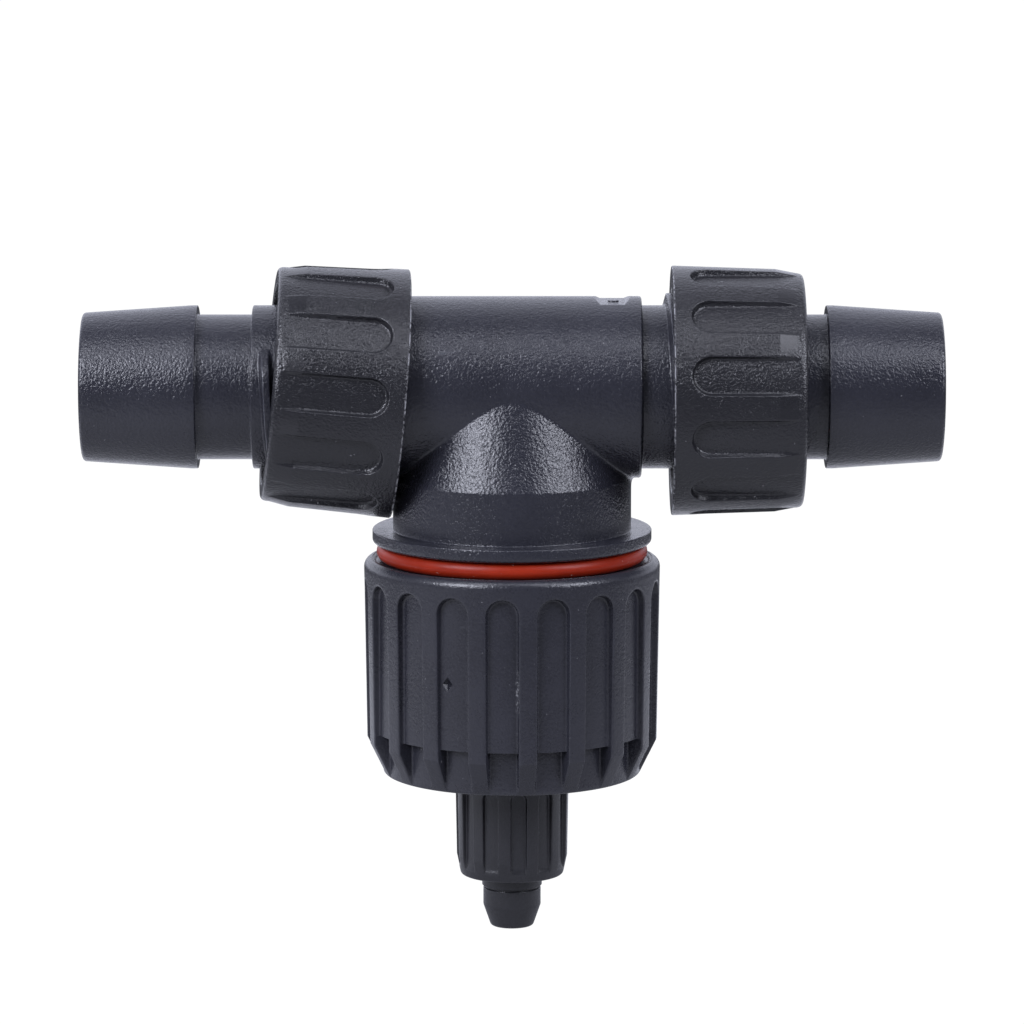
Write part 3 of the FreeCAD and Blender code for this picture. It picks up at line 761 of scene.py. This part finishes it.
class Shader:
    """Node material built in code, with patterns that follow the piece's own coordinates in metres.

    A value is a number, a colour or another node's output socket.
    """

    def __init__(self, name):
        self.material = bpy.data.materials.new(name)
        self.material.use_nodes = True
        self.tree = self.material.node_tree
        self.tree.nodes.clear()
        self.place = self.node("ShaderNodeTexCoord").outputs["Object"]

    def node(self, kind, settings=None, inputs=None):
        """New node with its properties set and its inputs fed."""
        made = self.tree.nodes.new(kind)
        for key, value in (settings or {}).items():
            setattr(made, key, value)
        for key, value in (inputs or {}).items():
            self.feed(made.inputs[key], value)
        return made

    def feed(self, socket, value):
        if isinstance(value, bpy.types.NodeSocket):
            self.tree.links.new(value, socket)
        else:
            socket.default_value = value

    def calc(self, operation, first, second=0.0, clamp=False):
        """Result of a math node."""
        return self.node(
            "ShaderNodeMath", {"operation": operation, "use_clamp": clamp}, {0: first, 1: second},
        ).outputs[0]

    def times(self, first, second):
        return self.calc("MULTIPLY", first, second)

    def axes(self):
        """The piece's own X, Y and Z."""
        return self.node("ShaderNodeSeparateXYZ", None, {0: self.place}).outputs

    def noise(self, size_mm, detail=2.0, rough=0.5, stretch=None):
        """Noise with features of the given size."""
        place = self.place
        if stretch is not None:
            place = self.node("ShaderNodeMapping", None, {"Vector": place, "Scale": stretch}).outputs[0]
        return self.node(
            "ShaderNodeTexNoise", None,
            {"Vector": place, "Scale": 1 / (size_mm * MM), "Detail": detail, "Roughness": rough},
        ).outputs[0]

    def spread(self, value, low, high, to_low=0.0, to_high=1.0):
        """Smooth step of the value between low and high."""
        return self.node(
            "ShaderNodeMapRange", {"interpolation_type": "SMOOTHSTEP"},
            {"Value": value, "From Min": low, "From Max": high, "To Min": to_low, "To Max": to_high},
        ).outputs[0]

    def blend(self, share, first, second):
        """Mix of two colours; a share of 1 is all second."""
        made = self.node("ShaderNodeMix", {"data_type": "RGBA"}, {0: share, 6: first, 7: second})
        return made.outputs[2]

    def bump(self, height, depth_mm, normal=None):
        """Surface direction bent by a height pattern."""
        made = self.node(
            "ShaderNodeBump", None, {"Height": height, "Distance": depth_mm * MM, "Strength": 1.0},
        )
        if normal is not None:
            self.feed(made.inputs["Normal"], normal)
        return made.outputs[0]

    def finish(self, **inputs):
        """Close the material with a principled surface."""
        surface = self.node("ShaderNodeBsdfPrincipled")
        for key, value in inputs.items():
            self.feed(surface.inputs[key.replace("_", " ")], value)
        output = self.node("ShaderNodeOutputMaterial")
        self.tree.links.new(surface.outputs[0], output.inputs["Surface"])
        return self.material


def colour(red, green, blue, share=1.0):
    """Opaque colour, scaled by the share."""
    return (red * share, green * share, blue * share, 1.0)


def parting_line(shader, height):
    """Mask of the mould's parting line, a thin line around the piece at Y = 0 below the given height."""
    _, y, z = shader.axes()
    line = shader.spread(shader.calc("ABSOLUTE", y), 0.03 * MM, 0.075 * MM, 1.0, 0.0)
    below = shader.spread(z, (height - 0.2) * MM, height * MM, 1.0, 0.0)
    return shader.times(line, below)


def nut_rim_line_and_chamfer(shader):
    """Masks of the ragged line on a nut's inner rim, part moulding fin and part painted rim highlight, and of
    the smooth chamfer at its outer end.
    """
    x, y, z = shader.axes()
    wide = shader.calc("ADD", shader.calc("POWER", x, 2.0), shader.calc("POWER", y, 2.0))
    wide = shader.calc("SQRT", wide)
    # Ragged line on the nut's inner rim: part moulding flash, part painted rim highlight.
    flash_and_rim_highlight = shader.spread(z, 0.05 * MM, 0.17 * MM, 1.0, 0.0)
    flash_and_rim_highlight = shader.times(flash_and_rim_highlight, shader.spread(wide, 10.1 * MM, 10.25 * MM))
    flash_and_rim_highlight = shader.times(flash_and_rim_highlight, shader.spread(shader.noise(0.9, 4.0, 0.7), 0.42, 0.58))
    chamfer = shader.spread(z, 8.54 * MM, 8.66 * MM)
    return flash_and_rim_highlight, shader.times(chamfer, shader.spread(wide, 9.78 * MM, 9.84 * MM))


def off_place(shader, place_mm):
    """Distances across and along from an (x, z) place, and the mask of the piece's front half."""
    x, y, z = shader.axes()
    across = shader.calc("ABSOLUTE", shader.calc("SUBTRACT", x, place_mm[0] * MM))
    along = shader.calc("ABSOLUTE", shader.calc("SUBTRACT", z, place_mm[1] * MM))
    return across, along, shader.calc("LESS_THAN", y, 0.0)


def nick_pit(shader, place_mm):
    """Depth pattern of a small diamond-shaped nick."""
    across, along, front = off_place(shader, place_mm)
    off = shader.calc(
        "ADD", shader.calc("DIVIDE", across, 0.42 * MM), shader.calc("DIVIDE", along, 0.62 * MM),
    )
    return shader.times(shader.calc("SUBTRACT", 1.0, off, True), front)


def rubbed_streak(shader, place_mm):
    """Mask of a short upright mark rubbed pale."""
    across, along, front = off_place(shader, place_mm)
    streak = shader.times(shader.spread(across, 0.05 * MM, 0.22 * MM, 1.0, 0.0), front)
    streak = shader.times(streak, shader.spread(along, 0.7 * MM, 2.1 * MM, 1.0, 0.0))
    return shader.times(streak, shader.spread(shader.noise(0.35, 4.0, 0.8), 0.48, 0.62))


def moulded_plastic(name, tint, grain_mm, grain_depth, roughness, scuff, parting=None, nut=False,
                    nick=None, rub_mark=None):
    """Dark moulded plastic: spark-eroded grain, cloudy tone, outer edges lightened as part wear and part
    painted edge highlight, fine scuffs.

    A parting height adds the mould's parting line below it; a nut gets a lighter ragged line on its inner
    rim, part moulding fin and part painted rim highlight, and its smooth chamfer.
    A nick and a rub mark are (x, z) places, in millimetres, on the front of the piece.
    """
    shader = Shader(name)
    grain = shader.noise(grain_mm, 2.0, 0.6)
    coarse = shader.noise(grain_mm * 1.9, 1.0, 0.5)
    relief = shader.calc("ADD", shader.times(grain, 0.7), shader.times(coarse, 0.4))
    tone = shader.spread(shader.noise(9.0, 4.0, 0.6), 0.3, 0.7)
    base = shader.blend(tone, colour(*tint, 0.86), colour(*tint, 1.14))
    pits = shader.spread(grain, 0.36, 0.62)
    base = shader.blend(shader.times(pits, 0.35), base, colour(*tint, 1.5))
    scratch = shader.spread(shader.noise(1.6, 3.0, 0.7, (0.12, 1.0, 1.6)), 0.66, 0.74)
    rub = shader.spread(shader.noise(3.5, 3.0, 0.65), 0.58, 0.72)
    scuffs = shader.times(shader.times(scratch, rub), scuff)
    base = shader.blend(scuffs, base, colour(0.12, 0.125, 0.14))
    dust = shader.times(shader.spread(shader.noise(0.33, 1.0, 0.5), 0.78, 0.82), 0.5)
    base = shader.blend(dust, base, colour(0.22, 0.22, 0.23))
    # Outer edges are lightened: partly wear, partly a painted highlight along the rounded edges.
    outer = shader.node("ShaderNodeAttribute", {"attribute_name": OUTER_EDGE}).outputs["Fac"]
    edge_wear_and_highlight = shader.times(shader.spread(outer, 0.515, 0.58), 0.5)
    edge_wear_and_highlight = shader.times(edge_wear_and_highlight, shader.spread(shader.noise(2.0, 3.0), 0.3, 0.6, 0.35, 1.0))
    base = shader.blend(edge_wear_and_highlight, base, colour(0.11, 0.115, 0.135))
    height = relief
    if parting is not None:
        line = parting_line(shader, parting)
        base = shader.blend(shader.times(line, 0.45), base, colour(0.14, 0.145, 0.165))
        height = shader.calc("ADD", height, shader.times(line, 3.0))
    if nut:
        flash_and_rim_highlight, chamfer = nut_rim_line_and_chamfer(shader)
        # The inner rim's ragged line is lightened: part moulding flash, part painted rim highlight.
        base = shader.blend(shader.times(flash_and_rim_highlight, 0.8), base, colour(0.30, 0.30, 0.32))
        # The relief is centred on zero, so that damping it on the chamfer makes no step.
        quiet = shader.calc("SUBTRACT", 1.0, shader.times(chamfer, 0.7))
        relief = shader.times(shader.calc("SUBTRACT", relief, 0.55), quiet)
        height = shader.calc("ADD", relief, shader.times(flash_and_rim_highlight, 1.5))
    if nick is not None:
        height = shader.calc("SUBTRACT", height, shader.times(nick_pit(shader, nick), 14.0))
    if rub_mark is not None:
        streak = rubbed_streak(shader, rub_mark)
        base = shader.blend(shader.times(streak, 0.7), base, colour(0.30, 0.30, 0.31))
    surface = shader.bump(height, grain_depth)
    surface = shader.bump(shader.noise(6.0, 2.0, 0.5), 0.02, surface)
    sheen = shader.calc("ADD", roughness - 0.06, shader.times(tone, 0.06))
    sheen = shader.calc("ADD", sheen, shader.times(grain, 0.08))
    sheen = shader.calc("ADD", sheen, shader.times(scuffs, 0.25), True)
    return shader.finish(
        Base_Color=base, Roughness=sheen, Normal=surface, IOR=1.5, Specular_IOR_Level=0.5,
    )


def silicone(name, tint):
    """Slightly glossy red silicone with faint flow marks and specks of dust."""
    shader = Shader(name)
    cloud = shader.noise(4.0, 3.0, 0.6)
    base = shader.blend(shader.spread(cloud, 0.3, 0.7), colour(*tint, 0.82), colour(*tint))
    specks = shader.spread(shader.noise(0.28, 1.0), 0.74, 0.8)
    base = shader.blend(shader.times(specks, 0.55), base, colour(0.75, 0.55, 0.5))
    surface = shader.bump(shader.noise(0.25, 2.0, 0.6), 0.006)
    sheen = shader.calc("ADD", 0.3, shader.times(cloud, 0.16))
    return shader.finish(
        Base_Color=base, Roughness=sheen, Normal=surface, Subsurface_Weight=0.12,
        Subsurface_Scale=0.6 * MM, Specular_IOR_Level=0.2,
    )


def rubber(name, tint):
    """Dull black rubber."""
    shader = Shader(name)
    cloud = shader.noise(1.5, 3.0, 0.6)
    base = shader.blend(shader.spread(cloud, 0.3, 0.7), colour(*tint, 0.7), colour(*tint))
    surface = shader.bump(shader.noise(0.15, 2.0, 0.6), 0.006)
    sheen = shader.calc("ADD", 0.45, shader.times(cloud, 0.2))
    return shader.finish(Base_Color=base, Roughness=sheen, Normal=surface)


def pale_plastic(name, tint):
    """White acetal with a faint grain and slightly yellowed clouds."""
    shader = Shader(name)
    cloud = shader.noise(5.0, 3.0, 0.6)
    warm = colour(tint[0], tint[1] * 0.97, tint[2] * 0.9)
    base = shader.blend(shader.spread(cloud, 0.35, 0.65), colour(*tint), warm)
    surface = shader.bump(shader.noise(0.3, 2.0, 0.6), 0.008)
    sheen = shader.calc("ADD", 0.38, shader.times(cloud, 0.15))
    return shader.finish(
        Base_Color=base, Roughness=sheen, Normal=surface, Subsurface_Weight=0.1,
        Subsurface_Scale=0.5 * MM,
    )


def sintered(name, tint):
    """Fine porous ceramic: open grain, darker pores."""
    shader = Shader(name)
    grain = shader.noise(0.18, 3.0, 0.7)
    cloud = shader.spread(shader.noise(3.0, 3.0), 0.3, 0.7, 0.0, 0.4)
    base = shader.blend(shader.spread(grain, 0.35, 0.6), colour(*tint, 0.55), colour(*tint))
    base = shader.blend(cloud, base, colour(*tint, 0.85))
    return shader.finish(Base_Color=base, Roughness=0.85, Normal=shader.bump(grain, 0.04))


def steel(name, tint):
    """Bright steel with drawn lines and light smears."""
    shader = Shader(name)
    lines = shader.noise(0.6, 3.0, 0.7, (1.0, 1.0, 14.0))
    smear = shader.noise(2.5, 3.0, 0.6)
    base = shader.blend(shader.spread(smear, 0.3, 0.7), colour(*tint, 0.8), colour(*tint))
    sheen = shader.calc("ADD", 0.18, shader.times(smear, 0.2))
    return shader.finish(
        Base_Color=base, Metallic=1.0, Roughness=sheen, Normal=shader.bump(lines, 0.002),
    )


# ---- Assembly -----------------------------------------------------------------------------

body_plastic = moulded_plastic(
    "body plastic", (0.0152, 0.0155, 0.0210), grain_mm=0.20, grain_depth=0.088, roughness=0.18, scuff=0.3,
    parting=-7.7,
)
nut_plastic = moulded_plastic(
    "nut plastic", (0.0112, 0.0112, 0.0134), grain_mm=0.19, grain_depth=0.10, roughness=0.20, scuff=0.4,
    nut=True,
)
cap_plastic = moulded_plastic(
    "cap plastic", (0.0160, 0.0162, 0.0214), grain_mm=0.20, grain_depth=0.040, roughness=0.27, scuff=0.5,
    nick=(-5.28, -23.2), rub_mark=(0.45, -23.7),
)
tail_plastic = moulded_plastic(
    "tube nut plastic", (0.0125, 0.0125, 0.0150), grain_mm=0.20, grain_depth=0.022, roughness=0.32, scuff=0.3,
)
red = silicone("red silicone", (0.27, 0.018, 0.0045))
black_rubber = rubber("black rubber", (0.02, 0.02, 0.021))
white_plastic = pale_plastic("white acetal", (0.72, 0.72, 0.70))
ceramic = sintered("sintered ceramic", (0.80, 0.77, 0.70))
bright_steel = steel("bright steel", (0.62, 0.62, 0.64))


def place_piece(obj, body, material, slot, *nodes):
    """Give a piece its material, its body and the CAD nodes whose looks it takes over."""
    obj.data.materials.clear()
    obj.data.materials.append(material)
    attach(obj, body)
    if nodes:
        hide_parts(*nodes)


left_nut = hose_nut("left_hose_nut_moulding", LEFT_NUT_PLACE, LEFT_LUG_AT)
right_nut = hose_nut("right_hose_nut_moulding", RIGHT_NUT_PLACE, RIGHT_LUG_AT)
place_piece(tee_moulding(), "tee", body_plastic, "body_plastic", "tee_body")
place_piece(gate_scar(), "tee", body_plastic, "body_plastic")
place_piece(o_ring(), "tee", red, "red_silicone", "flange_o_ring")
place_piece(chamber_cap(), "cap", cap_plastic, "nut_plastic", "chamber_cap")
place_piece(tube_nut(), "tube_nut", tail_plastic, "nut_plastic", "tube_nut")
place_piece(tube_tail(), "tail", tail_plastic, "nut_plastic", "tube_tail")
place_piece(left_nut, "left_nut", nut_plastic, "nut_plastic", "left_hose_nut")
place_piece(right_nut, "right_nut", nut_plastic, "nut_plastic", "right_hose_nut")

# The pieces inside keep their CAD meshes and get only a material.
kept_nodes = {
    "left_grip_ring": white_plastic,
    "right_grip_ring": white_plastic,
    "retaining_ring": bright_steel,
    "element_carrier": white_plastic,
    "porous_element": ceramic,
    "element_gasket": black_rubber,
    "carrier_seal": black_rubber,
    "valve_seat": black_rubber,
    "valve_ball": bright_steel,
    "tail_o_ring": black_rubber,
}
for name, material in kept_nodes.items():
    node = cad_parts[name]
    node.data.materials.clear()
    node.data.materials.append(material)


# ---- Floor, light and camera --------------------------------------------------------------

TARGET = Vector((0, 0, -10.54 * MM))
CAMERA_ELEVATION = 9.0
CAMERA_DISTANCE = 0.459
FLOOR_HEIGHT = -53.0 * MM
FLOOR_HALF_SIDE = 2.0
LIGHT_DISTANCE = 0.7
LIGHT_COLOUR = (0.94, 0.965, 1.1)
CAMERA_WHITE = 1.05
# Painted dimness of the floor away from the object, seen only in reflections and bounce light.
PAINTED_DIM_FLOOR = colour(0.14, 0.14, 0.143)

# Name, azimuth, elevation, width, height, power; azimuth 0 is in front, positive to the right.
SOFTBOXES = (
    ("overhead left", -38, 57, 0.26, 0.34, 1.25),
    ("overhead right", 37, 57, 0.26, 0.34, 1.2),
    ("left front", -44, 29, 0.34, 0.28, 4.5),
    ("right front", 55, 29, 0.30, 0.30, 3.1),
)


def way_to(azimuth, elevation):
    """Unit vector from the object to a place around it; azimuth 0 is in front, positive to the right."""
    a, e = math.radians(azimuth), math.radians(elevation)
    return Vector((math.sin(a) * math.cos(e), -math.cos(a) * math.cos(e), math.sin(e)))


def aim(name, data, away, distance):
    """Place a light or a camera so that it looks at the object."""
    obj = bpy.data.objects.new(name, data)
    bpy.context.scene.collection.objects.link(obj)
    obj.location = TARGET + away * distance
    obj.rotation_euler = away.to_track_quat("Z", "Y").to_euler()
    return obj


def stage_floor():
    """Pale floor below the tail's lowest travel; the camera sees it nearly white, as in a light tent. Other
    rays see painted light: grey near the object, a bright painted patch close behind and to the left, painted
    dimness farther out.
    """
    mesh = bpy.data.meshes.new("floor")
    side, height = FLOOR_HALF_SIDE, FLOOR_HEIGHT
    mesh.from_pydata(
        [(-side, -side, height), (side, -side, height), (side, side, height), (-side, side, height)],
        [], [(0, 1, 2, 3)],
    )
    floor = bpy.data.objects.new("floor", mesh)
    bpy.context.scene.collection.objects.link(floor)
    shader = Shader("pale floor")
    # Painted light for reflections and bounce: grey near the object, a bright painted patch close behind and
    # to the left, painted dimness farther out.
    near_painted_light = shader.blend(shader.noise(40.0, 2.0), colour(0.34, 0.34, 0.35), colour(0.38, 0.38, 0.38))
    x, y, _ = shader.axes()
    behind = shader.calc("SUBTRACT", y, shader.times(x, 0.35))
    far = shader.node("ShaderNodeVectorMath", {"operation": "LENGTH"}, {0: shader.place}).outputs["Value"]
    far_painted_light = shader.blend(shader.spread(behind, -0.17, 0.05), PAINTED_DIM_FLOOR, colour(0.85, 0.85, 0.85))
    far_painted_light = shader.blend(shader.spread(far, 0.15, 0.21), far_painted_light, PAINTED_DIM_FLOOR)
    tone = shader.blend(shader.spread(far, 0.05, 0.13), near_painted_light, far_painted_light)
    matt = shader.node("ShaderNodeBsdfDiffuse", None, {"Color": tone})
    glow = shader.node("ShaderNodeEmission", None, {"Color": colour(1, 1, 1), "Strength": CAMERA_WHITE})
    seen = shader.node("ShaderNodeLightPath").outputs["Is Camera Ray"]
    mixed = shader.node("ShaderNodeMixShader", None, {0: shader.times(seen, 0.97)})
    shader.tree.links.new(matt.outputs[0], mixed.inputs[1])
    shader.tree.links.new(glow.outputs[0], mixed.inputs[2])
    output = shader.node("ShaderNodeOutputMaterial")
    shader.tree.links.new(mixed.outputs[0], output.inputs["Surface"])
    mesh.materials.append(shader.material)


def stage_sky():
    """White surroundings for the camera; in reflections bright behind and to the left, dim in front."""
    world = bpy.data.worlds.new("light tent")
    bpy.context.scene.world = world
    world.use_nodes = True
    tree = world.node_tree
    tree.nodes.clear()

    def node(kind, inputs, **settings):
        made = tree.nodes.new(kind)
        for key, value in settings.items():
            setattr(made, key, value)
        for key, value in inputs.items():
            if isinstance(value, bpy.types.NodeSocket):
                tree.links.new(value, made.inputs[key])
            else:
                made.inputs[key].default_value = value
        return made

    way = tree.nodes.new("ShaderNodeTexCoord").outputs["Generated"]
    axes = node("ShaderNodeSeparateXYZ", {0: way}).outputs
    behind = node(
        "ShaderNodeMapRange",
        {"Value": axes["Y"], "From Min": -0.2, "From Max": 0.75, "To Min": 0.06, "To Max": 1.0},
        interpolation_type="SMOOTHSTEP",
    )
    left = node(
        "ShaderNodeMapRange",
        {"Value": axes["X"], "From Min": 0.2, "From Max": -1.0, "To Min": 0.0, "To Max": 0.35},
    )
    reflected = node("ShaderNodeMath", {0: behind.outputs[0], 1: left.outputs[0]}, operation="ADD")
    seen = tree.nodes.new("ShaderNodeLightPath").outputs["Is Camera Ray"]
    strength = node(
        "ShaderNodeMix", {0: seen, 2: reflected.outputs[0], 3: CAMERA_WHITE}, data_type="FLOAT",
    )
    tint = node(
        "ShaderNodeMix", {0: seen, 6: (0.94, 0.97, 1.14, 1.0), 7: (1.0, 1.0, 1.0, 1.0)}, data_type="RGBA",
    )
    back = node("ShaderNodeBackground", {"Color": tint.outputs[2], "Strength": strength.outputs[0]})
    output = tree.nodes.new("ShaderNodeOutputWorld")
    tree.links.new(back.outputs[0], output.inputs["Surface"])


def stage_lights():
    """Rectangular soft lights aimed at the object."""
    for name, azimuth, elevation, width, height, power in SOFTBOXES:
        light = bpy.data.lights.new(name, "AREA")
        light.shape = "RECTANGLE"
        light.size = width
        light.size_y = height
        light.energy = power
        light.color = LIGHT_COLOUR
        aim(name, light, way_to(azimuth, elevation), LIGHT_DISTANCE)


def stage_camera():
    """Long lens, straight in front and a little above."""
    camera = bpy.data.cameras.new("camera")
    camera.lens = 193.3
    camera.sensor_width = 36.0
    camera.clip_start = 0.01
    camera.clip_end = 10.0
    bpy.context.scene.camera = aim("camera", camera, way_to(0.0, CAMERA_ELEVATION), CAMERA_DISTANCE)


stage_floor()
stage_sky()
stage_lights()
stage_camera()
bpy.context.scene.view_settings.view_transform = "Standard"
